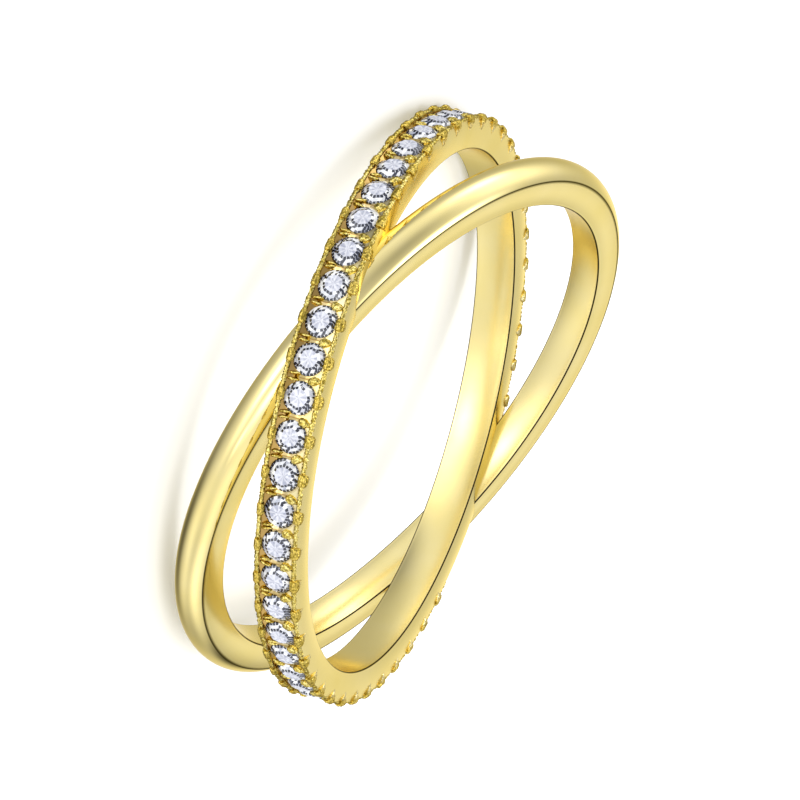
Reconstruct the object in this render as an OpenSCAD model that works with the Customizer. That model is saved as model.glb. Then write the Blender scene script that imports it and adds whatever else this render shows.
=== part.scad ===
// Crossover stacking ring: a plain domed band and a stone-set band cross twice around one finger.
// The two bands are soldered where they cross, so their metal is one solid.
// The finger axis is Z and the crossing line is X, with the stone-set band outermost on the -X side.
// The origin is the middle of the finger hole.

/* [Both bands] */
// Inside diameter of each band
inner_d = 17.3; // [15:0.1:20]
// Angle by which each band leans away from the middle plane
lean = 11.9; // [10:0.1:14]
// Distance from the ring's middle to each band's own centre, along the crossing line
shift = 0.31; // [0.25:0.01:0.35]

/* [Plain band] */
// Width of the plain band along its own axis
plain_w = 1.18; // [1:0.01:1.4]
// Thickness of the plain band at its flat sides
plain_side_t = 0.98; // [0.8:0.01:1.1]
// Height of the polished dome above the flat sides
dome_h = 0.39; // [0.3:0.01:0.5]

/* [Stone-set band] */
// Width of the stone-set band along its own axis
pave_w = 1.38; // [1.3:0.01:1.6]
// Thickness of the stone-set band up to the top of its two rims
pave_t = 1.06; // [1:0.01:1.2]
// Width of the channel between the two rims
channel_w = 0.8; // [0.7:0.01:0.9]
// Depth of the channel between the two rims
channel_depth = 0.22; // [0.15:0.01:0.3]

/* [Stones] */
// Stones that would fill the whole turn of the band
stones_in_turn = 49; // [46:1:52]
// Diameter of each round stone
stone_d = 1.05; // [1:0.01:1.06]
// Height of a stone's table above the rims
table_proud = 0.03; // [0:0.01:0.05]
// Turn of the whole row of stones around the band
row_turn = 0.1; // [-3:0.1:3]
// Half of the arc, about the buried crossing, that has no stones
bare_half_arc = 18; // [17:0.5:20]
// Clearance between a stone and its seat
seat_gap = 0.02; // [0.01:0.01:0.03]

/* [Setting] */
// Width of a side prong at its head
prong_w = 0.4; // [0.3:0.01:0.5]
// Length of a side prong's tip down the flat side of the band
prong_l = 0.5; // [0.4:0.01:0.8]
// Height of a side prong's head above the rims
prong_rise = 0.1; // [0.05:0.01:0.15]
// How far a side prong stands out of the flat side
prong_out = 0.07; // [0.04:0.01:0.1]
// Diameter of a bead between two stones, at its foot
bead_d = 0.26; // [0.2:0.01:0.28]
// Height of a bead's flat top above the rims
bead_rise = 0.03; // [0.02:0.01:0.06]
// How far a bead overlaps the wall and the floor of the channel
bead_root = 0.05; // [0.04:0.01:0.08]

/* [Hidden] */
inner_r = inner_d / 2;
plain_side_r = inner_r + plain_side_t;
plain_top_r = plain_side_r + dome_h;
rim_r = inner_r + pave_t;
channel_r = rim_r - channel_depth;

// A brilliant's proportions, as parts of its diameter
table_part = 0.58;
crown_part = 0.15;
girdle_part = 0.03;
pavilion_part = 0.43;
// Where the kites' outer corners and the lower girdle facets' tips lie, as parts of radius and height
kite_reach = 0.79;
kite_height = 0.48;
half_reach = 0.26;
half_depth = 0.76;
stone_r = stone_d / 2;
table_r = rim_r + table_proud;
girdle_top_r = table_r - crown_part * stone_d;
girdle_low_r = girdle_top_r - girdle_part * stone_d;
culet_r = girdle_low_r - pavilion_part * stone_d;

// How far the channel runs past the middle of the first and last stone, in pitches of the row
channel_end = 0.62;

// Depth that a side prong's root sinks into the flat side, and how far its widest line is under the rim
prong_root = 0.12;
shoulder_drop = 0.05;

// Angle of the stone with this number in the full turn
pitch = 360 / stones_in_turn;
function stone_angle(i) = row_turn + i * pitch;
// Angle folded to -180..180, so that 0 is the buried crossing
function folded(a) = (a + 540) % 360 - 180;
SET = [for (i = [0 : stones_in_turn - 1]) if (abs(folded(stone_angle(i))) > bare_half_arc) i];
function two_digits(n) = str(n < 10 ? "0" : "", n);
STONES = [for (k = [0 : len(SET) - 1]) str("stone_", two_digits(k + 1))];

$fn = 96;
GOLD = "gold";
CLEAR = "lavender";

// Places a band's own frame: the plain band leans one way (+1), the stone-set band the other (-1)
module leaning(side) {
    rotate([side * lean, 0, 0])
        translate([side * shift, 0, 0])
            children();
}

// Turns a child that points up Z so that it points outwards from the band's centre at an angle
module outwards(angle) {
    rotate([0, 0, angle])
        rotate([0, 90, 0])
            children();
}

// D section: flat sides and bore, with a domed outer face
module plain_profile() {
    dome_r = (dome_h * dome_h + plain_w * plain_w / 4) / (2 * dome_h);
    union() {
        translate([inner_r, -plain_w / 2])
            square([plain_side_t, plain_w]);
        intersection() {
            translate([plain_top_r - dome_r, 0])
                circle(r = dome_r);
            translate([plain_side_r - dome_h / 2, -plain_w / 2])
                square([2 * dome_h, plain_w]);
        }
    }
}

module plain_band() {
    rotate_extrude()
        plain_profile();
}

module pave_hoop() {
    rotate_extrude()
        translate([inner_r, -pave_w / 2])
            square([pave_t, pave_w]);
}

// Channel between the two rims, only along the arc that has stones
module channel() {
    first = stone_angle(SET[0] - channel_end);
    last = stone_angle(SET[len(SET) - 1] + channel_end);
    rotate([0, 0, first])
        rotate_extrude(angle = last - first)
            translate([channel_r, -channel_w / 2])
                square([2 * channel_depth, channel_w]);
}

// Bead left standing in the channel between two stones
module bead(side) {
    foot_r = channel_r - bead_root;
    translate([-side * (channel_w / 2 - bead_root), 0, foot_r])
        cylinder(d1 = bead_d, d2 = 0.6 * bead_d, h = rim_r + bead_rise - foot_r);
}

// Prong beside a stone: a broad head over the rim and a tip that runs down the flat side
module side_prong(side) {
    head_r = rim_r + prong_rise;
    shoulder_r = rim_r - shoulder_drop;
    tip_r = rim_r - prong_l;
    translate([0, 0, side * (pave_w / 2 + (prong_out - prong_root) / 2)])
        linear_extrude(height = prong_out + prong_root, center = true)
            polygon([
                [head_r, -0.4 * prong_w],
                [head_r, 0.4 * prong_w],
                [shoulder_r, 0.5 * prong_w],
                [tip_r, 0.1 * prong_w],
                [tip_r, -0.1 * prong_w],
                [shoulder_r, -0.5 * prong_w]
            ]);
}

// Hole that is drilled for one stone: straight past the girdle, then a cone under the pavilion
module seat() {
    seat_r = stone_r + seat_gap;
    floor_r = culet_r - 3 * seat_gap;
    mouth_r = table_r + stone_d;
    rotate_extrude()
        polygon([
            [0, floor_r],
            [0.3 * seat_gap, floor_r],
            [seat_r, girdle_low_r - seat_gap / 2],
            [seat_r, mouth_r],
            [0, mouth_r]
        ]);
}

module pave_band() {
    union() {
        difference() {
            pave_hoop();
            channel();
        }
        for (i = SET)
            rotate([0, 0, stone_angle(i)])
                for (side = [-1, 1])
                    side_prong(side);
        for (k = [0 : len(SET)])
            outwards(stone_angle(SET[0] + k - 0.5))
                for (side = [-1, 1])
                    bead(side);
    }
}

// The soldered metal of both bands, with the seats drilled after soldering
module crossed_bands() {
    color(GOLD)
        difference() {
            union() {
                leaning(1)
                    plain_band();
                leaning(-1)
                    pave_band();
            }
            leaning(-1)
                for (i = SET)
                    outwards(stone_angle(i))
                        seat();
        }
}

// Round brilliant on Z with its table up: 8 stars, 8 kites, 16 upper and 16 lower girdle facets, 8 mains
module brilliant() {
    function ring(n, r, z, first) = [
        for (k = [0 : n - 1])
            let (a = (first + k) * 360 / n)
                [r * cos(a), r * sin(a), z]
    ];
    table = ring(8, table_part * stone_r, table_r, 0);
    kites = ring(8, kite_reach * stone_r, girdle_top_r + kite_height * crown_part * stone_d, 0.5);
    upper = ring(16, stone_r, girdle_top_r, 0);
    lower = ring(16, stone_r, girdle_low_r, 0);
    halves = ring(8, half_reach * stone_r, girdle_low_r - half_depth * pavilion_part * stone_d, 0);
    culet = [[0, 0, culet_r]];
    // First point of each ring in the list of points
    t = 0;
    c = t + len(table);
    u = c + len(kites);
    w = u + len(upper);
    m = w + len(lower);
    tip = m + len(halves);
    polyhedron(
        points = concat(table, kites, upper, lower, halves, culet),
        faces = concat(
            [[for (k = [7 : -1 : 0]) t + k]],
            [for (k = [0 : 7]) [t + k, t + (k + 1) % 8, c + k]],
            [for (k = [0 : 7]) [t + k, c + k, u + 2 * k]],
            [for (k = [0 : 7]) [t + k, u + 2 * k, c + (k + 7) % 8]],
            [for (k = [0 : 7]) [c + k, u + 2 * k + 1, u + 2 * k]],
            [for (k = [0 : 7]) [c + k, u + (2 * k + 2) % 16, u + 2 * k + 1]],
            [for (k = [0 : 15]) [u + k, u + (k + 1) % 16, w + (k + 1) % 16, w + k]],
            [for (k = [0 : 7]) [w + 2 * k, w + 2 * k + 1, m + k]],
            [for (k = [0 : 7]) [w + 2 * k + 1, w + (2 * k + 2) % 16, m + (k + 1) % 8]],
            [for (k = [0 : 7]) [w + 2 * k + 1, m + (k + 1) % 8, tip]],
            [for (k = [0 : 7]) [w + 2 * k + 1, tip, m + k]]
        )
    );
}

// Stone number k + 1, counted round the band from the buried crossing
module stone(k) {
    color(CLEAR)
        leaning(-1)
            outwards(stone_angle(SET[k]))
                brilliant();
}

crossed_bands();
for (k = [0 : len(SET) - 1])
    stone(k);
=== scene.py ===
"""Crossover stacking ring: a plain domed band and a stone-set band, soldered where they cross.

The ring is drawn in its own frame in metres: Z runs along the finger, X through both crossings,
with the stone-set band outermost at -X. Each piece below is a surface worked out in its band's own
frame, where the band is a hoop about Z, and is then leaned into the ring's frame.
"""
import math

import bpy
import numpy as np
from mathutils import Matrix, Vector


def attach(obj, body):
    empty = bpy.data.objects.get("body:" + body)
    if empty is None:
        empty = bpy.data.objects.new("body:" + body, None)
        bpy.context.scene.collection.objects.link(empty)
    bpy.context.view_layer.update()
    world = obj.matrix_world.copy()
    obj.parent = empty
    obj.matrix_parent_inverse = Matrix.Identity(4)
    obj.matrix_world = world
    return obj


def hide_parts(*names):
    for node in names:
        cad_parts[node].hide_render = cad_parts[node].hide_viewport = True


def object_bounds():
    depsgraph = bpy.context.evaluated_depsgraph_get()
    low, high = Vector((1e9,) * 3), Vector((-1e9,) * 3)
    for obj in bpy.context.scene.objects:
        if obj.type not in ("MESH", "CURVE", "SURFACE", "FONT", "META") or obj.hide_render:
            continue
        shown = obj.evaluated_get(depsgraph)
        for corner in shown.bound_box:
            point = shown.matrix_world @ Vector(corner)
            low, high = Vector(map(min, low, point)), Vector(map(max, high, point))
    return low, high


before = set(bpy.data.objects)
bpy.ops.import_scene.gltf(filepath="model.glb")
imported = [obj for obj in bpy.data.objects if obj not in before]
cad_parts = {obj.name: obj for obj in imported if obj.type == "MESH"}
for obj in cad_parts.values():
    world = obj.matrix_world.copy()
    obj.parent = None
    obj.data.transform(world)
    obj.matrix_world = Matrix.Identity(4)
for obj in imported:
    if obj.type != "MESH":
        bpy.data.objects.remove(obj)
cad_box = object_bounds()


# Plain band
# A thin hoop of yellow gold, high and polished outside, with a satin bore and satin sides.
# It is drawn through a die as D wire, bent round and soldered, and its dome is buffed last.
MM = 0.001
LEAN = math.radians(11.9)     # each band leans this far from the middle plane
SHIFT = 0.31 * MM             # each band's centre lies this far along the crossing line
BORE_R = 8.65 * MM
PLAIN_W = 1.18 * MM
PLAIN_SIDE_R = BORE_R + 0.98 * MM
DOME_H = 0.39 * MM
EDGE = 0.05 * MM              # radius of the softened edges of the bore
EDGE_R = BORE_R + 0.02 * MM   # radius of the bore beside its edges
CROWN = 0.055 * MM            # the bore is this much fuller in its middle than beside its edges
SWELL = 0.04 * MM             # and the sides this much
LINE = 0.022 * MM             # width of the fine dark line of painted shade along a crisp edge
HOOP_STEPS = 360              # stations of a hoop
FULL_TURN = np.linspace(0, 2 * np.pi, HOOP_STEPS, endpoint=False)[:, None]
# Where the band was bent a little off its plane circle: angle and spread in degrees, then the shift
# outwards and along Z in mm
BENDS = {
    "low_bend": (-72, 38, 0.08, 0.33),
    "high_bend": (56, 57, -0.15, 0.22),
}


def leaned(points, side):
    """Moves points from a band's own frame to the ring's: a shift of side * SHIFT along X, then a
    turn of side * LEAN about X."""
    c, s = math.cos(side * LEAN), math.sin(side * LEAN)
    x, y, z = np.moveaxis(np.asarray(points), -1, 0)
    return np.stack([x + side * SHIFT, c * y - s * z, s * y + c * z], axis=-1)


def turned(r, angle, z):
    """Cylinder coordinates to points: radius r at an angle about the band's axis, at height z."""
    return np.stack(np.broadcast_arrays(r * np.cos(angle), r * np.sin(angle), z), axis=-1)


def hoop(section, outwards=0, along=0):
    """Carries a section, given as rows of (r, z), once round the band's axis.

    Outwards and along are its shifts at each angle of the turn.
    """
    return turned(section[None, :, 0] + outwards, FULL_TURN, section[None, :, 1] + along)


def bend_shifts():
    """How far the bends move the band outwards and along Z at each angle of the turn.

    Each is a bell curve: its shift times e raised to minus the square of (angle from its middle
    over its spread).
    """
    outwards, along = 0, 0
    for middle, spread, most_out, most_along in BENDS.values():
        away = (np.degrees(FULL_TURN) - middle + 180) % 360 - 180
        share = np.exp(-(away / spread) ** 2)
        outwards = outwards + most_out * MM * share
        along = along + most_along * MM * share
    return outwards, along


def worked(name, grids, caps, material, crease=None, line=None):
    """Turns a stack of grids, shaped (copies, along, around, 3), into one mesh object.

    Quads join neighbours around the section, which is closed, and along it. Without caps the last
    row joins the first, as in a hoop; with caps each end is closed by a fan about its mean point.
    A crease is the angle in degrees past which an edge stays sharp. A line gives each point of the
    section, or of one whole copy, its share of the edge line's tint, which is kept as an attribute.
    """
    copies, along, around, _ = grids.shape
    index = np.arange(copies * along * around).reshape(copies, along, around)
    ahead = np.roll(index, -1, axis=2)
    last = along - 1 if caps else along
    a, b = index[:, :last], ahead[:, :last]
    c, d = np.roll(ahead, -1, axis=1)[:, :last], np.roll(index, -1, axis=1)[:, :last]
    quads = np.stack([a, b, c, d], axis=-1).reshape(-1, 4)
    points = grids.reshape(-1, 3)
    fans = np.zeros((0, 3), int)
    if caps:
        ends = grids[:, [0, -1]].mean(axis=2).reshape(-1, 3)
        hubs = len(points) + np.arange(2 * copies).reshape(copies, 2, 1)
        hubs = np.broadcast_to(hubs, (copies, 2, around))
        points = np.concatenate([points, ends])
        near_fan = np.stack([ahead[:, 0], index[:, 0], hubs[:, 0]], axis=-1)
        far_fan = np.stack([index[:, -1], ahead[:, -1], hubs[:, 1]], axis=-1)
        fans = np.concatenate([near_fan.reshape(-1, 3), far_fan.reshape(-1, 3)])
    mesh = bpy.data.meshes.new(name)
    mesh.vertices.add(len(points))
    mesh.vertices.foreach_set("co", points.ravel())
    corners = np.concatenate([quads.ravel(), fans.ravel()])
    sizes = np.concatenate([np.full(len(quads), 4), np.full(len(fans), 3)])
    mesh.loops.add(len(corners))
    mesh.loops.foreach_set("vertex_index", corners)
    mesh.polygons.add(len(sizes))
    mesh.polygons.foreach_set("loop_start", np.concatenate([[0], np.cumsum(sizes)[:-1]]))
    mesh.polygons.foreach_set("use_smooth", np.ones(len(sizes), bool))
    mesh.update(calc_edges=True)
    mesh.validate()
    if crease is not None:
        mesh.set_sharp_from_angle(angle=math.radians(crease))
    if line is not None:
        share = np.zeros(len(points))
        share[:index.size] = np.tile(line.ravel(), index.size // line.size)
        mesh.attributes.new("line", "FLOAT", "POINT").data.foreach_set("value", share)
    mesh.materials.append(material)
    piece = bpy.data.objects.new(name, mesh)
    bpy.context.scene.collection.objects.link(piece)
    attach(piece, "root")
    return piece


def arc(middle, radius, start, end, count):
    """Points of a circle's arc in a section's (r, z) plane, from one angle to another in degrees."""
    a = np.radians(np.linspace(start, end, count))
    return np.stack([middle[0] + radius * np.cos(a), middle[1] + radius * np.sin(a)], axis=-1)


def bore_and_side(half, side_r):
    """The bore and the lower side of a band of this half width, as (r, z) rows, out to side_r.

    Both are parabolas, the bore fuller by CROWN in the middle and the side by SWELL, joined by a
    quarter circle of radius EDGE. The last array is each row's share of the dark edge line, painted
    shade along the edge: whole within two rows of the quarter circle's middle, and none five rows away.
    """
    t = np.linspace(1, -1, 15)
    bore = np.stack([EDGE_R - CROWN * (1 - t ** 2), t * (half - EDGE)], axis=-1)
    foot = EDGE_R + EDGE
    corner = arc((foot, -half + EDGE), EDGE, 180, 270, 11)[1:]
    u = np.linspace(-1, 1, 12)[1:]
    side = np.stack([foot + (side_r - foot) * (u + 1) / 2, -half - SWELL * (1 - u ** 2)], axis=-1)
    low = np.concatenate([corner, side])
    shares = np.clip(2.2 - np.abs(np.arange(len(low)) - 4) / 2.2, 0, 1)
    return bore, low, shares


def plain_section():
    """The D section as a closed loop of (r, z), and each point's share of the dark line of painted shade.

    The dome is the arc through both side edges and the top.
    """
    half = PLAIN_W / 2
    bore, low, shares = bore_and_side(half, PLAIN_SIDE_R - LINE)
    dome_r = (DOME_H ** 2 + half ** 2) / (2 * DOME_H)
    dome_a = math.degrees(math.asin(half / dome_r))
    dome = arc((PLAIN_SIDE_R + DOME_H - dome_r, 0), dome_r, -dome_a, dome_a, 49)
    loop = np.concatenate([bore, low, dome, low[::-1] * [1, -1]])
    # The painted shade line along the dome's crisp edge lies between the side's last row and the dome's
    # first
    shares[-1] = 1
    on_dome = np.where(np.abs(dome[:, 1]) > half - 1e-9, 1.0, 0.0)
    return loop, np.concatenate([np.zeros(len(bore)), shares, on_dome, shares[::-1]])


def add_sockets(group, way, kinds):
    """Adds sockets to a shader group's INPUT or OUTPUT side; kinds gives each name's type."""
    for name, kind in kinds.items():
        group.interface.new_socket(name, in_out=way, socket_type="NodeSocket" + kind)


def polish_marks():
    """Shader group: the faint unevenness of worked metal.

    Slow noise gives a haze mask, which mixes the two tints and the two roughnesses, and with an
    eighth of a fine noise it gives a barely uneven height. Outputs: Tint, Roughness and Height.
    """
    group = bpy.data.node_groups.new("polish_marks", "ShaderNodeTree")
    link = group.links.new
    add_sockets(group, "INPUT", {"Bright": "Color", "Dull": "Color", "Smooth": "Float", "Hazy": "Float"})
    add_sockets(group, "OUTPUT", {"Tint": "Color", "Roughness": "Float", "Height": "Float"})
    given = group.nodes.new("NodeGroupInput")
    made = group.nodes.new("NodeGroupOutput")
    place = group.nodes.new("ShaderNodeTexCoord")
    slow = group.nodes.new("ShaderNodeTexNoise")
    slow.inputs["Scale"].default_value = 420
    slow.inputs["Detail"].default_value = 3
    fine = group.nodes.new("ShaderNodeTexNoise")
    fine.inputs["Scale"].default_value = 5200
    fine.inputs["Detail"].default_value = 2
    haze = group.nodes.new("ShaderNodeMapRange")
    haze.inputs["From Min"].default_value = 0.35
    haze.inputs["From Max"].default_value = 0.75
    tint = group.nodes.new("ShaderNodeMix")
    tint.data_type = "RGBA"
    rough = group.nodes.new("ShaderNodeMix")
    height = group.nodes.new("ShaderNodeMath")
    height.operation = "MULTIPLY_ADD"
    height.inputs[1].default_value = 0.12
    for texture in (slow, fine):
        link(place.outputs["Object"], texture.inputs["Vector"])
    link(slow.outputs["Fac"], haze.inputs["Value"])
    link(haze.outputs["Result"], tint.inputs["Factor"])
    link(given.outputs["Bright"], tint.inputs["A"])
    link(given.outputs["Dull"], tint.inputs["B"])
    link(haze.outputs["Result"], rough.inputs["Factor"])
    link(given.outputs["Smooth"], rough.inputs["A"])
    link(given.outputs["Hazy"], rough.inputs["B"])
    link(fine.outputs["Fac"], height.inputs[0])
    link(slow.outputs["Fac"], height.inputs[2])
    link(tint.outputs["Result"], made.inputs["Tint"])
    link(rough.outputs["Result"], made.inputs["Roughness"])
    link(height.outputs["Value"], made.inputs["Height"])
    return group


def edge_line():
    """Shader group: blends a tint towards a line's own tint by the share that a point has of it."""
    group = bpy.data.node_groups.new("edge_line", "ShaderNodeTree")
    link = group.links.new
    add_sockets(group, "INPUT", {"Tint": "Color", "Line Tint": "Color", "Share": "Float"})
    add_sockets(group, "OUTPUT", {"Tint": "Color"})
    given = group.nodes.new("NodeGroupInput")
    made = group.nodes.new("NodeGroupOutput")
    blend = group.nodes.new("ShaderNodeMix")
    blend.data_type = "RGBA"
    link(given.outputs["Share"], blend.inputs["Factor"])
    link(given.outputs["Tint"], blend.inputs["A"])
    link(given.outputs["Line Tint"], blend.inputs["B"])
    link(blend.outputs["Result"], made.inputs["Tint"])
    return group


MARKS = polish_marks()
EDGE_LINE = edge_line()
YELLOW = (1.0, 0.86, 0.42)
DEEP_YELLOW = (0.98, 0.82, 0.33)
# The near black of the line along crisp edges is painted shade
PAINTED_EDGE_SHADE = (0.015, 0.01, 0.005)
FAINT = 0.6e-6                # height of the marks on smooth gold, in metres


def metal(name, bright, dull, smooth, hazy, unevenness=FAINT, line_tint=PAINTED_EDGE_SHADE):
    """A gold material with polish marks and an edge line, which by default is painted shade.

    Bright and dull are its two tints, smooth and hazy its two roughnesses, and unevenness is the
    height of its marks in metres. The point attribute "line" is the share of line_tint.
    """
    material = bpy.data.materials.new(name)
    material.use_nodes = True
    nodes, link = material.node_tree.nodes, material.node_tree.links.new
    surface = nodes["Principled BSDF"]
    surface.inputs["Metallic"].default_value = 1.0
    surface.inputs["Specular Tint"].default_value = (0.9, 0.8, 0.5, 1)
    marks = nodes.new("ShaderNodeGroup")
    marks.name = "marks"
    marks.node_tree = MARKS
    marks.inputs["Bright"].default_value = (*bright, 1)
    marks.inputs["Dull"].default_value = (*dull, 1)
    marks.inputs["Smooth"].default_value = smooth
    marks.inputs["Hazy"].default_value = hazy
    edge = nodes.new("ShaderNodeGroup")
    edge.name = "edge"
    edge.node_tree = EDGE_LINE
    edge.inputs["Line Tint"].default_value = (*line_tint, 1)
    share = nodes.new("ShaderNodeAttribute")
    share.attribute_name = "line"
    bump = nodes.new("ShaderNodeBump")
    bump.name = "bump"
    bump.inputs["Strength"].default_value = 1.0
    bump.inputs["Distance"].default_value = unevenness
    link(marks.outputs["Tint"], edge.inputs["Tint"])
    link(share.outputs["Fac"], edge.inputs["Share"])
    link(edge.outputs["Tint"], surface.inputs["Base Color"])
    link(marks.outputs["Roughness"], surface.inputs["Roughness"])
    link(marks.outputs["Height"], bump.inputs["Height"])
    link(bump.outputs["Normal"], surface.inputs["Normal"])
    return material


polished_gold = metal("polished_gold", YELLOW, DEEP_YELLOW, smooth=0.06, hazy=0.11)
satin_gold = metal("satin_gold", YELLOW, DEEP_YELLOW, smooth=0.2, hazy=0.26)

section, edge_shade_shares = plain_section()
plain_band = worked("plain_band", leaned(hoop(section, *bend_shifts()), 1)[None], False, polished_gold,
                    crease=11, line=edge_shade_shares)
# All of the section below the dome's edge is satin
below_dome = np.tile(section[:, 0] < PLAIN_SIDE_R - 0.001 * MM, len(FULL_TURN))
plain_band.data.materials.append(satin_gold)
plain_band.data.polygons.foreach_set("material_index", below_dome.astype(int))
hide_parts("crossed_bands")


# Stone-set band
# A flat-sided hoop of the same gold, with satin sides and bore, soldered to the plain band where
# they cross. Its outer face is cut away for the stones, so here it ends just under that face.
PAVE_W = 1.38 * MM
RIM_R = BORE_R + 1.06 * MM
UNDER_R = 9.36 * MM           # the hoop's own outer radius, under the cut face
SIDE_END_R = RIM_R - 0.03 * MM   # the flat side ends here, and a narrow slope leads to the lip
LIP_R = RIM_R - 0.005 * MM    # top of the low lip that the hoop keeps along each edge
LIP_EDGE = 0.02 * MM          # the lip's top starts this far in from the side
LIP_HALF = 0.6 * MM           # and ends at this height from the band's middle
FLAT_HALF = 0.56 * MM         # half width of the flat between the lips
IN_TURN = 49                  # stones that would fill the whole turn
PITCH = 2 * math.pi / IN_TURN
ROW_TURN = math.radians(0.1)  # the whole row of stones is turned by this much
BARE = math.radians(18)       # no stones within this angle of the buried crossing

# Numbers in the full turn of the stones that are set, their angles, and those of the joints between
in_turn = ROW_TURN + PITCH * np.arange(IN_TURN)
SET = np.flatnonzero(np.abs((in_turn + np.pi) % (2 * np.pi) - np.pi) > BARE)
STONE_AT = ROW_TURN + PITCH * SET
JOINT_AT = np.append(STONE_AT - PITCH / 2, STONE_AT[-1] + PITCH / 2)


def stone_set_section():
    """The closed loop of (r, z): bore, lower side and lip, a flat top at UNDER_R, upper lip and side.

    The second array is each point's share of the dark line of painted shade.
    """
    half = PAVE_W / 2
    bore, low, shares = bore_and_side(half, SIDE_END_R)
    lip = [[LIP_R, -half + LIP_EDGE], [LIP_R, -LIP_HALF]]
    top = np.stack([np.full(9, UNDER_R), np.linspace(-FLAT_HALF, FLAT_HALF, 9)], axis=-1)
    lower = np.concatenate([low, lip])
    loop = np.concatenate([bore, lower, top, lower[::-1] * [1, -1]])
    bare = np.zeros(len(top) + 2 * len(lip))
    return loop, np.concatenate([np.zeros(len(bore)), shares, bare, shares[::-1]])


section, edge_shade_shares = stone_set_section()
stone_set_band = worked("stone_set_band", leaned(hoop(section), -1)[None], False, satin_gold,
                        crease=24, line=edge_shade_shares)
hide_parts("crossed_bands")


# Cut face
# The outer face between the two edges, of the same gold. Seats are drilled close round each stone,
# and the graver cuts bright slopes from the edges down to them. Every corner is brown with shadow.
FACE_R = 9.6 * MM             # distances along the band are measured at this radius
RIDGE_R = 9.63 * MM           # top of the ridge between two stones
RIDGE_FALL = 0.5              # its fall to either side, as rise over run
RIDGE_HALF = 0.2 * MM         # half length of its level part, across the band
MOUTH = 0.533 * MM            # radius of a seat's mouth
MOUTH_R = 9.58 * MM           # the mouth lies this far from the band's axis
MOUTH_STEP = 0.04 * MM        # the seat's wall drops by this as soon as it is inside the mouth
SEAT_FALL = 0.9               # fall of the cone below it, as rise over run
SNAP = 0.024 * MM             # grid points this near the mouth are moved onto it
FOOT = 0.57 * MM              # the wall's inner foot lies at this height from the middle
WALL_T = 0.035 * MM           # and within this it rises to the rim
WALL_ROWS = (0.585, 0.605, 0.63)   # heights in mm of the grid's rows up the wall
BANK = 0.25 * MM              # the slope up to the wall starts at this height
UPPER_SLOPE = (9.62, 0.055)   # radius at which the upper slope starts and its rise, in mm
LOWER_SLOPE = (9.46, 0.16)    # the lower slope, which leaves pockets
RIDGE_DARK = 0.3 * MM         # the ridge's shadow ends at this height from the middle
FADE = 0.1 * MM               # it and the pockets' shadows fade over this distance
STEPS = 36                    # stations of the face in one pitch
CHANNEL_END = 0.62            # the face runs this many pitches past the first and last stone
FACE_FROM = STONE_AT[0] - CHANNEL_END * PITCH
FACE_TO = STONE_AT[-1] + CHANNEL_END * PITCH
SUNK = 0.02 * MM              # its underside lies this far inside the hoop's top


def strip(distance, width):
    """Share of a strip: one on its middle line, falling evenly to none at a width in mm."""
    return np.clip(1 - np.abs(distance) / (width * MM), 0, 1)


def face_radius(along, z):
    """Radius of the cut face at a distance along the band from the nearest stone, and height z.

    Between stones it is a ridge that falls towards both; from the ridge it slopes up to the foot of
    each wall. Inside the mouth of a seat it is a cone, and at the wall it rises to the rim.
    """
    out = np.hypot(along, z)
    across = np.abs(z)
    joint = PITCH / 2 * FACE_R - np.abs(along)
    ridge = RIDGE_R - RIDGE_FALL * joint - RIDGE_FALL * np.clip(across - RIDGE_HALF, 0, 1)
    bank = np.clip((across - BANK) / (FOOT - BANK), 0, 1)
    start = np.where(z > 0, UPPER_SLOPE[0], LOWER_SLOPE[0]) * MM
    rise = np.where(z > 0, UPPER_SLOPE[1], LOWER_SLOPE[1]) * MM
    cut = np.maximum(ridge, start + rise * bank)
    inside = MOUTH - out
    seat = MOUTH_R - SEAT_FALL * inside - MOUTH_STEP * np.clip(inside / MOUTH_STEP, 0, 1)
    cut = np.where(out < MOUTH - 1e-6, seat, cut)
    wall = np.clip((across - FOOT) / WALL_T, 0, 1)
    return cut + (RIM_R - cut) * wall


def corner_shadow(along, z):
    """Share of brown in the face's corners: strips on the ridge, round each seat and at each wall's
    foot, and the pockets of the lower side."""
    out, across = np.hypot(along, z), np.abs(z)
    joint = PITCH / 2 * FACE_R - np.abs(along)
    on_ridge = strip(joint, 0.07) * np.clip((RIDGE_DARK - across) / FADE, 0, 1)
    pocket = np.clip((-z - BANK) / FADE, 0, 1) * np.clip((LIP_HALF + z) / (0.02 * MM), 0, 1)
    at_foot = np.where(z < 0, 1.0, 0.5) * strip(across - FOOT + 0.01 * MM, 0.07)
    round_seat = strip(out - MOUTH - 0.02 * MM, 0.04)
    return np.maximum.reduce([0.9 * on_ridge, 0.8 * pocket, at_foot, 0.8 * round_seat])


def with_underside(top, turn):
    """Closes a strip of the outer face below by a flat underside just inside the hoop's top."""
    under = turned(UNDER_R - SUNK, turn, np.array([[LIP_HALF, 0, -LIP_HALF]]))
    return np.concatenate([top, under], axis=1)


cut_gold = metal("cut_gold", (1.0, 0.9, 0.55), (1.0, 0.84, 0.36), smooth=0.06, hazy=0.12,
                 line_tint=(0.36, 0.18, 0.01))
turn = np.linspace(FACE_FROM, FACE_TO, round((FACE_TO - FACE_FROM) / PITCH * STEPS))[:, None]
across = np.append(np.linspace(0, FOOT, 15), np.array(WALL_ROWS) * MM)
across = np.concatenate([-across[:0:-1], across])[None, :]
nearest = np.clip(np.round((turn - ROW_TURN) / PITCH), SET[0], SET[-1]) * PITCH + ROW_TURN
along, across = np.broadcast_arrays((turn - nearest) * FACE_R, across)
out = np.hypot(along, across)
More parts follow.
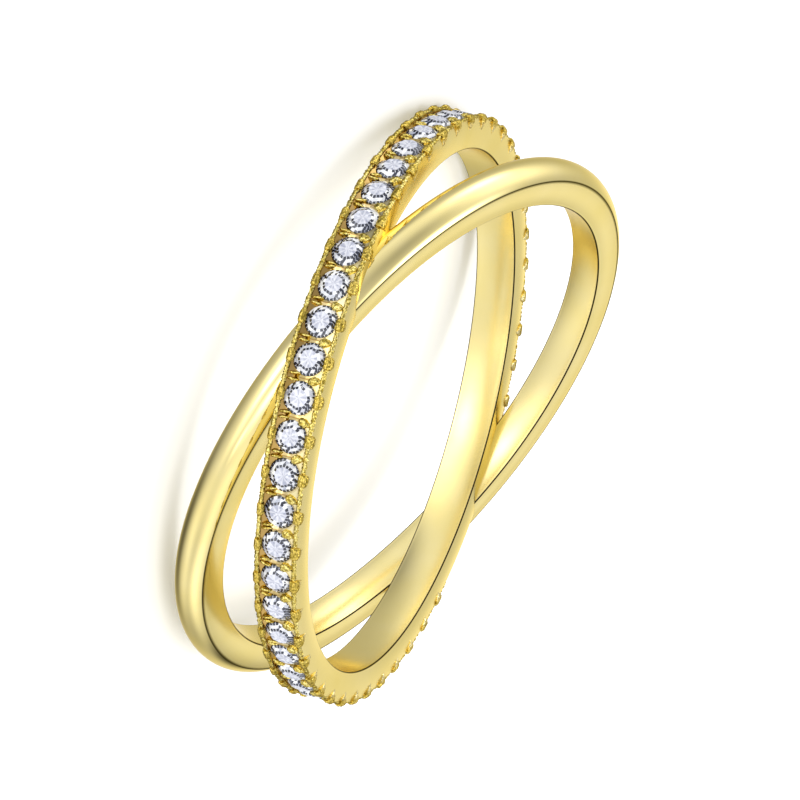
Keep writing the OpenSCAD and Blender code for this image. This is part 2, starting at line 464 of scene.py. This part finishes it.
# Points of the grid that lie next to the seat's mouth move onto it, so that it is a true circle
onto = np.where(np.abs(out - MOUTH) < SNAP, MOUTH / np.maximum(out, 1e-9), 1)
along, across = along * onto, across * onto
top = turned(face_radius(along, across), nearest + along / FACE_R, across)
shadow = np.append(corner_shadow(along, across), np.zeros((len(turn), 3)), axis=1)
cut_face = worked("cut_face", leaned(with_underside(top, turn), -1)[None], True, cut_gold,
                  crease=30, line=shadow)


# Bare back
# Where the plain band crosses over this one no stone would fit, and the outer face is left plain.
# It is a strip with a faint crown, a parabola across, and is polished like the dome over it.
BACK_HALF = 0.65 * MM
BACK_CROWN = 0.01 * MM

turn = np.linspace(FACE_TO, FACE_FROM + 2 * np.pi, 60)[:, None]
across = np.linspace(-BACK_HALF, BACK_HALF, 15)[None, :]
top = turned(RIM_R + BACK_CROWN * (1 - (across / BACK_HALF) ** 2), turn, across)
bare_back = worked("bare_back", leaned(with_underside(top, turn), -1)[None], True, polished_gold,
                   crease=30)


# Side prongs
# One on each side of every stone, raised from the gold of the edges: a broad head whose lip laps
# over the stone's girdle, and a narrow tongue that hooks down the flat side. The graver leaves them
# grainy all over.
ROWS = 30                     # points along a prong
ROUND = 22                    # and round its section
# The middle line of a prong, from lip to tip: height z, radius r and half width, in mm
PRONG = {
    "lip": (0.53, 9.66, 0.17),
    "crest": (0.555, 9.74, 0.2),
    "head": (0.62, 9.765, 0.21),
    "shoulder": (0.695, 9.75, 0.21),
    "edge": (0.725, 9.66, 0.2),
    "side": (0.725, 9.54, 0.14),
    "tongue": (0.71, 9.42, 0.06),
    "tip": (0.69, 9.28, 0.02),
}
PRONG_T = 0.06 * MM           # half of a prong's thickness
GRAIN = 0.014 * MM            # its skin is moved in or out by up to this
HOOK = (0.02, 0.09)           # least and most that a tongue's tip leans along the band, in mm
TONGUE_R = 9.62 * MM          # the tongue starts at this radius
TONGUE_L = 0.35 * MM          # and is this long
LOWER_INSET = 0.045 * MM      # the prongs of the lower side stand out less by this much
INSET_Z = 0.55 * MM           # the inset starts at this height
INSET_OVER = 0.15 * MM        # and is whole this much further out


def smooth_rows(table, count):
    """Passes a smooth curve (Catmull-Rom cubics) through a table's rows and samples it evenly."""
    p = np.array(table, float)
    p = np.concatenate([[2 * p[0] - p[1]], p, [2 * p[-1] - p[-2]]])
    t = np.linspace(0, len(p) - 3 - 1e-9, count)
    k = t.astype(int)
    t = (t - k)[:, None]
    a, b, c, d = p[k], p[k + 1], p[k + 2], p[k + 3]
    cubic = (2 * a - 5 * b + 4 * c - d) * t ** 2 + (3 * b - a - 3 * c + d) * t ** 3
    return 0.5 * (2 * b + (c - a) * t + cubic)


def bent(v, power):
    """A sine or cosine raised to a power without its sign, which squares or sharpens an oval."""
    return np.sign(v) * np.abs(v) ** power


def prongs(side, seed, inset):
    """Side prongs at every stone, as a section carried along the prong's middle line.

    Past its crest the line is drawn in by inset, so that the prongs of one side stand out less.
    The section is a rounded box: half width across by half thickness out of the line, each with the
    cosine or sine raised to a power below one, and it thins towards both ends. Every point of its
    outer half is moved in or out by chance, which makes the grain, and the tongues lean a little to
    one side, by the square of the way down.
    """
    line = smooth_rows(list(PRONG.values()), ROWS) * MM
    z, r, wide = line[:, 0], line[:, 1], line[:, 2]
    z = z - inset * np.clip((z - INSET_Z) / INSET_OVER, 0, 1)
    dz, dr = np.gradient(z), np.gradient(r)
    length = np.hypot(dz, dr)
    out_z, out_r = -dr / length, dz / length
    u = np.linspace(0, 2 * np.pi, ROUND, endpoint=False)
    fade = np.sin(np.pi * np.linspace(0.15, 0.95, ROWS)) ** 0.4
    count = len(STONE_AT)
    chance = np.random.default_rng(seed)
    grain = chance.uniform(-1, 1, (count, ROWS, ROUND)) * GRAIN * fade[:, None]
    across = wide[:, None] * bent(np.cos(u), 0.35)
    outward = (PRONG_T * fade)[:, None] * bent(np.sin(u), 0.8) + grain * (np.sin(u) > -0.1)
    grid_r = r[:, None] + out_r[:, None] * outward
    grid_z = side * (z[:, None] + out_z[:, None] * outward)
    down = np.clip((TONGUE_R - r) / TONGUE_L, 0, 1)[:, None]
    hook = down ** 2 * chance.uniform(*HOOK, (count, 1, 1)) * MM
    angle = STONE_AT[:, None, None] + (across + hook) / RIM_R
    grid = turned(grid_r, angle, grid_z)
    return grid if side > 0 else grid[:, :, ::-1]


def grains():
    """Shader group: small round grains (Voronoi cells), about 0.07 mm from one to the next.

    Each grain has its own share of amber, and towards its edge it falls away and turns dark brown:
    painted shade in the crevices between grains.
    Outputs: Tint and Height.
    """
    group = bpy.data.node_groups.new("grains", "ShaderNodeTree")
    link = group.links.new
    add_sockets(group, "INPUT", {"Tint": "Color"})
    add_sockets(group, "OUTPUT", {"Tint": "Color", "Height": "Float"})
    given = group.nodes.new("NodeGroupInput")
    made = group.nodes.new("NodeGroupOutput")
    place = group.nodes.new("ShaderNodeTexCoord")
    cells = group.nodes.new("ShaderNodeTexVoronoi")
    cells.inputs["Scale"].default_value = 14000
    own = group.nodes.new("ShaderNodeSeparateColor")
    own_share = group.nodes.new("ShaderNodeMapRange")
    own_share.inputs["From Min"].default_value = 0.45
    own_share.inputs["From Max"].default_value = 0.9
    amber = group.nodes.new("ShaderNodeMix")
    amber.data_type = "RGBA"
    amber.inputs["B"].default_value = (0.85, 0.64, 0.14, 1)
    # Towards each grain's edge the tint turns dark brown: painted shade in the crevices between grains
    crevice_shade_share = group.nodes.new("ShaderNodeMapRange")
    crevice_shade_share.inputs["From Min"].default_value = 0.35
    crevice_shade_share.inputs["From Max"].default_value = 0.8
    brown = group.nodes.new("ShaderNodeMix")
    brown.data_type = "RGBA"
    brown.inputs["B"].default_value = (0.36, 0.26, 0.03, 1)
    downward = group.nodes.new("ShaderNodeMath")
    downward.operation = "MULTIPLY"
    downward.inputs[1].default_value = -1
    link(place.outputs["Object"], cells.inputs["Vector"])
    link(cells.outputs["Color"], own.inputs["Color"])
    link(own.outputs["Red"], own_share.inputs["Value"])
    link(own_share.outputs["Result"], amber.inputs["Factor"])
    link(given.outputs["Tint"], amber.inputs["A"])
    link(cells.outputs["Distance"], crevice_shade_share.inputs["Value"])
    link(crevice_shade_share.outputs["Result"], brown.inputs["Factor"])
    link(amber.outputs["Result"], brown.inputs["A"])
    link(cells.outputs["Distance"], downward.inputs[0])
    link(brown.outputs["Result"], made.inputs["Tint"])
    link(downward.outputs["Value"], made.inputs["Height"])
    return group


GRAINS = grains()
PALE = (1.0, 0.88, 0.5)
GRAIN_DEPTH = 18e-6           # height of the grains in metres


def grained(name, bright, dull):
    """A gold material whose marks are covered by grains; its line is pale, where it is rubbed."""
    material = metal(name, bright, dull, smooth=0.1, hazy=0.2, unevenness=GRAIN_DEPTH, line_tint=PALE)
    nodes, link = material.node_tree.nodes, material.node_tree.links.new
    skin = nodes.new("ShaderNodeGroup")
    skin.node_tree = GRAINS
    link(nodes["marks"].outputs["Tint"], skin.inputs["Tint"])
    link(skin.outputs["Tint"], nodes["edge"].inputs["Tint"])
    link(skin.outputs["Height"], nodes["bump"].inputs["Height"])
    return material


# The prongs' tints, darker and more amber than the gold they are raised from, are painted shade among the
# grains
prong_gold = grained("prong_gold", (0.85, 0.66, 0.18), (0.8, 0.56, 0.1))
# The tongues, which are the rows past the prong's edge, are rubbed bright on the flat side
rubbed = np.repeat(np.clip((np.arange(ROWS) - 18) / 6, 0, 0.8)[:, None], ROUND, axis=1)
for name, side, seed, inset in (("prongs_upper", 1, 3, 0), ("prongs_lower", -1, 4, LOWER_INSET)):
    piece = worked(name, leaned(prongs(side, seed, inset), -1), True, prong_gold, line=rubbed)


# Beads
# Between two stones the beading tool raises metal to hold them: on the upper side one spike that
# points to the edge, on the lower side two narrow ribs from the wall to the stones.
RIB_ROWS = 12                 # points along a rib, and as many round its section
RIB_ROUGH = 0.16              # greatest share by which chance changes its section
RIB_SKEW = 0.25               # greatest skew by chance, as run along the band over run across it
RIB_STRAY = 0.02              # greatest shift by chance, in mm


def ribs(shift, radius, start, end, wide, tall, blunt, seed):
    """One rib at every joint, as an oval carried across the band from z = start to z = end.

    Its half width and half height are the sine of the way along it raised to the power blunt, times
    wide and tall, and the width also halves towards the end. It lies at this radius, shifted along
    the band, and chance moves, skews and roughens it. All its sizes are in mm.
    """
    chance = np.random.default_rng(seed)
    count = len(JOINT_AT)
    way = np.linspace(0.03, 0.97, RIB_ROWS)[None, :, None]
    u = np.linspace(0, 2 * np.pi, RIB_ROWS, endpoint=False)[None, None, :]
    rough = chance.uniform(-RIB_ROUGH, RIB_ROUGH, (count, RIB_ROWS, RIB_ROWS))
    swell = np.sin(np.pi * way) ** blunt * (1 + rough)
    skew = chance.uniform(-RIB_SKEW, RIB_SKEW, (count, 1, 1))
    z = start + (end - start) * way
    step = shift + chance.uniform(-RIB_STRAY, RIB_STRAY, (count, 1, 1)) + skew * (z - start)
    r = radius + tall * swell * np.sin(u)
    step = step + wide * swell * (1 - 0.55 * way) * np.cos(u)
    grid = turned(r * MM, JOINT_AT[:, None, None] + step * MM / RIM_R, z * MM)
    return grid if start < end else grid[:, :, ::-1]


bead_gold = grained("bead_gold", (1.0, 0.87, 0.34), (1.0, 0.82, 0.22))
spikes = ribs(shift=0.05, radius=9.67, start=0.14, end=0.58, wide=0.19, tall=0.1, blunt=0.5, seed=11)
low_ribs = [ribs(shift, radius=9.6, start=-0.56, end=-0.16, wide=0.07, tall=0.08, blunt=0.4, seed=seed)
            for shift, seed in ((-0.075, 12), (0.075, 13))]
for name, grids in (("beads_upper", spikes), ("beads_lower", np.concatenate(low_ribs))):
    piece = worked(name, leaned(grids, -1), True, bead_gold)


# Grained edges
# The thin wall left along each edge of the stone-set band, of the same gold. A knurled wheel is
# rolled along its top, which makes it a cord of fine grains.
CORD_R = 9.69 * MM            # radius of the cord's middle line
CORD_Z = 0.625 * MM           # and its height from the band's middle
CORD_TALL = 0.05 * MM         # half height of the cord's section
CORD_WIDE = 0.07 * MM         # and half width
CORD_GRAIN = 0.42             # greatest share of them by which chance moves its skin
CORD_STEP = 0.04 * MM         # length of the cord from one ring of points to the next


def grained_cord(side, seed):
    """A cord of oval section along the wall's top.

    Every point of its skin is moved in or out by chance, by up to CORD_GRAIN of the section's half
    height or width, which makes irregular grains.
    """
    chance = np.random.default_rng(seed)
    steps = round((FACE_TO - FACE_FROM) * RIM_R / CORD_STEP)
    turn = np.linspace(FACE_FROM, FACE_TO, steps)[:, None]
    u = np.linspace(0, 2 * np.pi, 12, endpoint=False)[None, :]
    grain = 1 + chance.uniform(-CORD_GRAIN, CORD_GRAIN, (steps, 12))
    r = CORD_R + CORD_TALL * np.sin(u) * grain
    z = CORD_Z - CORD_WIDE * np.cos(u) * grain
    grid = turned(r, turn, side * z)
    return grid if side > 0 else grid[:, ::-1]


for name, side, seed in (("grained_edge_upper", 1, 5), ("grained_edge_lower", -1, 6)):
    piece = worked(name, leaned(grained_cord(side, seed), -1)[None], True, bead_gold)


# Stones
# Colourless round brilliants, each cut with a table and 56 facets. The solids' own facets are kept,
# and the light that a cut stone throws back from inside is drawn as bright and dark cells.
STONE_R = 0.525 * MM
RING_LIMITS = (0.52, 0.67, 0.84)   # inner edges of the three rings of cells, in stone radii
DARK_CELL = (0.006, 0.01, 0.03, 1)
GREY_CELL = (0.25, 0.28, 0.4, 1)
WHITE_CELL = (0.95, 0.97, 1.0, 1)
TABLE_GREY = (0.28, 0.3, 0.4, 1)
TABLE_WHITE = (0.64, 0.66, 0.74, 1)
PETAL = (0.74, 0.74, 0.78, 1)


def brilliant_cells():
    """Shader group: the bright and dark cells that a brilliant shows from above, as painted reflections.

    Object coordinates are leaned back into the band's frame and turned to the nearest stone's own
    place u along the band and v across it, in stone radii. Three rings of dashes round the table are
    dark, grey or white by chance, and the table is grey patches under eight faint pale petals.
    """
    group = bpy.data.node_groups.new("brilliant_cells", "ShaderNodeTree")
    add_sockets(group, "OUTPUT", {"Cells": "Color"})
    made = group.nodes.new("NodeGroupOutput")
    link = group.links.new

    def given_to(socket, value):
        """Sets a socket to a number or colour, or links another node's output to it."""
        if isinstance(value, (int, float, tuple)):
            socket.default_value = value
        else:
            link(value, socket)

    def reckon(operation, *values):
        """The outcome of a math operation on numbers or other nodes' outputs."""
        node = group.nodes.new("ShaderNodeMath")
        node.operation = operation
        for socket, value in zip(node.inputs, values):
            given_to(socket, value)
        return node.outputs["Value"]

    def blend(share, start, end):
        """The colour that lies this share of the way from start to end."""
        node = group.nodes.new("ShaderNodeMix")
        node.data_type = "RGBA"
        for name, value in (("Factor", share), ("A", start), ("B", end)):
            given_to(node.inputs[name], value)
        return node.outputs["Result"]

    def chance_at(x, y, z):
        """A number from 0 to 1 by chance for each whole place (x, y, z)."""
        place = group.nodes.new("ShaderNodeCombineXYZ")
        for axis, value in zip("XYZ", (x, y, z)):
            link(value, place.inputs[axis])
        dice = group.nodes.new("ShaderNodeTexWhiteNoise")
        dice.noise_dimensions = "3D"
        link(place.outputs["Vector"], dice.inputs["Vector"])
        return dice.outputs["Value"]

    place = group.nodes.new("ShaderNodeTexCoord")
    split = group.nodes.new("ShaderNodeSeparateXYZ")
    link(place.outputs["Object"], split.inputs["Vector"])
    leaned_y, leaned_z = split.outputs["Y"], split.outputs["Z"]
    cos_lean, sin_lean = math.cos(LEAN), math.sin(LEAN)
    x = reckon("ADD", split.outputs["X"], SHIFT)
    y = reckon("SUBTRACT", reckon("MULTIPLY", leaned_y, cos_lean), reckon("MULTIPLY", leaned_z, sin_lean))
    z = reckon("ADD", reckon("MULTIPLY", leaned_y, sin_lean), reckon("MULTIPLY", leaned_z, cos_lean))
    turn = reckon("DIVIDE", reckon("SUBTRACT", reckon("ARCTAN2", y, x), ROW_TURN), PITCH)
    number = reckon("ROUND", turn)
    u = reckon("MULTIPLY", reckon("SUBTRACT", turn, number), PITCH * FACE_R / STONE_R)
    v = reckon("DIVIDE", z, STONE_R)
    reach = reckon("SQRT", reckon("ADD", reckon("MULTIPLY", u, u), reckon("MULTIPLY", v, v)))
    angle = reckon("DIVIDE", reckon("ARCTAN2", v, u), 2 * math.pi)
    # The table is an octagon, so reach is measured to its sides and not to its corners
    eighth = reckon("SUBTRACT", reckon("FRACT", reckon("MULTIPLY", angle, 8.0)), 0.5)
    edged = reckon("MULTIPLY", reach, reckon("COSINE", reckon("MULTIPLY", eighth, math.pi / 4)))
    # Three rings of cells round the table: 18 dashes, 22 mostly bright kites, which are twisted, and
    # 26 dashes at the girdle
    steps = [reckon("GREATER_THAN", edged, limit) for limit in RING_LIMITS]
    ring = reckon("ADD", reckon("ADD", steps[0], steps[1]), steps[2])
    middle = reckon("SUBTRACT", steps[1], steps[2])
    in_ring = reckon("MULTIPLY_ADD", ring, 4.0, 14.0)
    sector = reckon("MULTIPLY_ADD", angle, in_ring, reckon("MULTIPLY", ring, 0.3))
    sector = reckon("ADD", sector, reckon("MULTIPLY", reckon("MULTIPLY", middle, edged), 4.0))
    chance = chance_at(reckon("FLOOR", sector), ring, number)
    aside = reckon("ABSOLUTE", reckon("SUBTRACT", reckon("FRACT", sector), 0.5))
    dash = reckon("LESS_THAN", aside, 0.4)
    # Dark cells are most common on one side of the stone, as painted shade on that side, and rare among the
    # kites
    lean_side = reckon("MULTIPLY_ADD", v, 0.95, reckon("MULTIPLY", u, 0.3))
    heavy = reckon("MAXIMUM", reckon("SUBTRACT", lean_side, 0.45), 0.0)
    busy = reckon("MULTIPLY_ADD", middle, -0.6, reckon("MULTIPLY_ADD", heavy, 1.0, 0.8))
    dark = reckon("MULTIPLY", dash, reckon("LESS_THAN", chance, busy))
    ring_colour = blend(dark, blend(chance, GREY_CELL, WHITE_CELL), DARK_CELL)
    # Patches of the table, each grey by chance, and eight pale petals over them that narrow outwards
    petal = reckon("SUBTRACT", 0.5, reckon("ABSOLUTE", eighth))
    petal = reckon("LESS_THAN", petal, reckon("MULTIPLY_ADD", reach, -0.22, 0.26))
    sixteenth = reckon("FLOOR", reckon("MULTIPLY", angle, 16.0))
    shade = chance_at(sixteenth, reckon("FLOOR", reckon("MULTIPLY", reach, 6.0)), number)
    table_colour = blend(shade, TABLE_GREY, TABLE_WHITE)
    table_colour = blend(reckon("MULTIPLY", petal, 0.45), table_colour, PETAL)
    link(blend(steps[0], table_colour, ring_colour), made.inputs["Cells"])
    return group


clear = bpy.data.materials.new("clear_brilliant")
clear.use_nodes = True
cells = clear.node_tree.nodes.new("ShaderNodeGroup")
cells.node_tree = brilliant_cells()
surface = clear.node_tree.nodes["Principled BSDF"]
surface.inputs["Roughness"].default_value = 0.03
surface.inputs["IOR"].default_value = 1.9
clear.node_tree.links.new(cells.outputs["Cells"], surface.inputs["Base Color"])
for name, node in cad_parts.items():
    if name.startswith("stone"):
        node.data.materials.clear()
        node.data.materials.append(clear)


# Floor
# A plain pale sheet, matt all over, on which the ring lies on its side. It is no part of the ring,
# and it is wide enough to reach past every view.
FLOOR_HALF = 1.5              # in metres
FLOOR_Z = cad_box[0][2]

floor_corners = [(x * FLOOR_HALF, y * FLOOR_HALF, FLOOR_Z) for x, y in ((-1, -1), (1, -1), (1, 1), (-1, 1))]
floor_mesh = bpy.data.meshes.new("floor")
floor_mesh.from_pydata(floor_corners, [], [(0, 1, 2, 3)])
floor = bpy.data.objects.new("floor", floor_mesh)
bpy.context.scene.collection.objects.link(floor)
# The gold mirrors the tent, not the sheet
floor.visible_glossy = False
sheet = bpy.data.materials.new("pale_sheet")
sheet.use_nodes = True
surface = sheet.node_tree.nodes["Principled BSDF"]
surface.inputs["Base Color"].default_value = (0.93, 0.93, 0.92, 1)
surface.inputs["Roughness"].default_value = 0.9
surface.inputs["Specular IOR Level"].default_value = 0.1
floor_mesh.materials.append(sheet)


# Light
# A white tent with soft boxes outside it and darker gaps between them, which the polished gold
# mirrors as cream, yellow and olive streaks, and a broad overhead sheet that whitens the floor.
TENT = 0.5                    # brightness of the tent itself
DARKEST = 0.1
STEEPNESS = 1.6               # a power above one deepens the gaps and brightens the boxes
BRIGHTNESS = 1.12
# Each glow or gap: azimuth and elevation in degrees, tightness, and brightness added at its middle
GLOWS = {
    "low_front_box": (-177, -34, 12, 0.7),
    "high_front_box": (-146, 23, 24, 1.05),
    "front_strip": (-140, -20, 27, 0.4),
    "front_tube": (-159, -20, 60, 0.9),
    "left_window": (-57, 12, 14, 1.1),
    "high_left_box": (-87, 36, 8, 0.3),
    "low_left_box": (-60, -24, 9, 1.2),
    "left_tube": (-127, 8, 150, 0.5),
    "broad_back": (-45, -10, 1.7, 1.35),
    "right_box": (117, 39, 2.2, 1.65),
    "right_fill": (81, 26, 5.5, 0.5),
    "right_strip": (97, -2, 33, 0.8),
    "low_right_strip": (131, -28, 16, 0.2),
    "back_spot": (22, -2, 22, 0.3),
    "top_spot": (40, 70, 45, 1.9),
    "high_back_strip": (4, 31, 60, 0.2),
    "right_gap": (82, 46, 1.4, -0.9),
    "back_gap": (-56, 1, 6, -1.95),
    "low_back_gap": (-45, -42, 5.6, -1.3),
    "high_right_gap": (130, 40, 5, -0.95),
    "low_right_gap": (129, -47, 19, -0.35),
    "low_left_gap": (-69, -30, 40, -0.2),
    "tent_seam": (-15, 14, 46, -0.65),
}

world = bpy.data.worlds.new("soft_studio")
bpy.context.scene.world = world
world.use_nodes = True
nodes, link = world.node_tree.nodes, world.node_tree.links.new


def sky_step(operation, value, *numbers):
    """Adds a math node to the world: the operation on a socket and the numbers after it."""
    node = nodes.new("ShaderNodeMath")
    node.operation = operation
    link(value, node.inputs[0])
    for socket, number in zip(node.inputs[1:], numbers):
        socket.default_value = number
    return node


# A glow's share in a direction is e raised to tightness times (cosine of the angle to it, less one)
sight = nodes.new("ShaderNodeTexCoord")
total = None
for name, (azimuth, elevation, tightness, brightness) in GLOWS.items():
    a, e = math.radians(azimuth), math.radians(elevation)
    cosine = nodes.new("ShaderNodeVectorMath")
    cosine.operation = "DOT_PRODUCT"
    cosine.inputs[1].default_value = (math.cos(e) * math.cos(a), math.cos(e) * math.sin(a), math.sin(e))
    link(sight.outputs["Generated"], cosine.inputs[0])
    power = sky_step("MULTIPLY_ADD", cosine.outputs["Value"], tightness, -tightness)
    share = sky_step("EXPONENT", power.outputs["Value"])
    glow = sky_step("MULTIPLY_ADD", share.outputs["Value"], brightness, TENT)
    glow.label = name
    if total is not None:
        link(total, glow.inputs[2])
    total = glow.outputs["Value"]
floored = sky_step("MAXIMUM", total, DARKEST)
steeper = sky_step("POWER", floored.outputs["Value"], STEEPNESS)
scaled = sky_step("MULTIPLY", steeper.outputs["Value"], BRIGHTNESS)
link(scaled.outputs["Value"], nodes["Background"].inputs["Color"])

overhead = bpy.data.lights.new("overhead_sheet", "AREA")
overhead.shape = "DISK"
overhead.size = 1.4
overhead.energy = 5
sheet_light = bpy.data.objects.new("overhead_sheet", overhead)
sheet_light.location = (0.05, 0.05, 0.4)
sheet_light.visible_glossy = False
bpy.context.scene.collection.objects.link(sheet_light)
bpy.context.scene.view_settings.view_transform = "Standard"


# Camera
# A long lens, some 20 degrees above the sheet, turned about its own axis so that the ring stands as
# in the photograph.
AZIMUTH = math.radians(11.6)
ELEVATION = math.radians(20.4)
ROLL = math.radians(116.7)
DISTANCE = 193.7 * MM
TARGET = np.array([-0.08, 0.3, -0.06]) * MM

ahead = np.array([math.cos(ELEVATION) * math.cos(AZIMUTH), math.cos(ELEVATION) * math.sin(AZIMUTH),
                  -math.sin(ELEVATION)])
level = np.array([math.sin(AZIMUTH), -math.cos(AZIMUTH), 0])
rightward = math.cos(ROLL) * level + math.sin(ROLL) * np.cross(level, ahead)
camera = bpy.data.cameras.new("camera")
camera.lens = 270
camera.sensor_width = 36
camera.clip_start = 0.01
viewer = bpy.data.objects.new("camera", camera)
bpy.context.scene.collection.objects.link(viewer)
axes = Matrix([rightward, np.cross(rightward, ahead), -ahead]).transposed()
viewer.matrix_world = Matrix.Translation(TARGET - DISTANCE * ahead) @ axes.to_4x4()
bpy.context.scene.camera = viewer
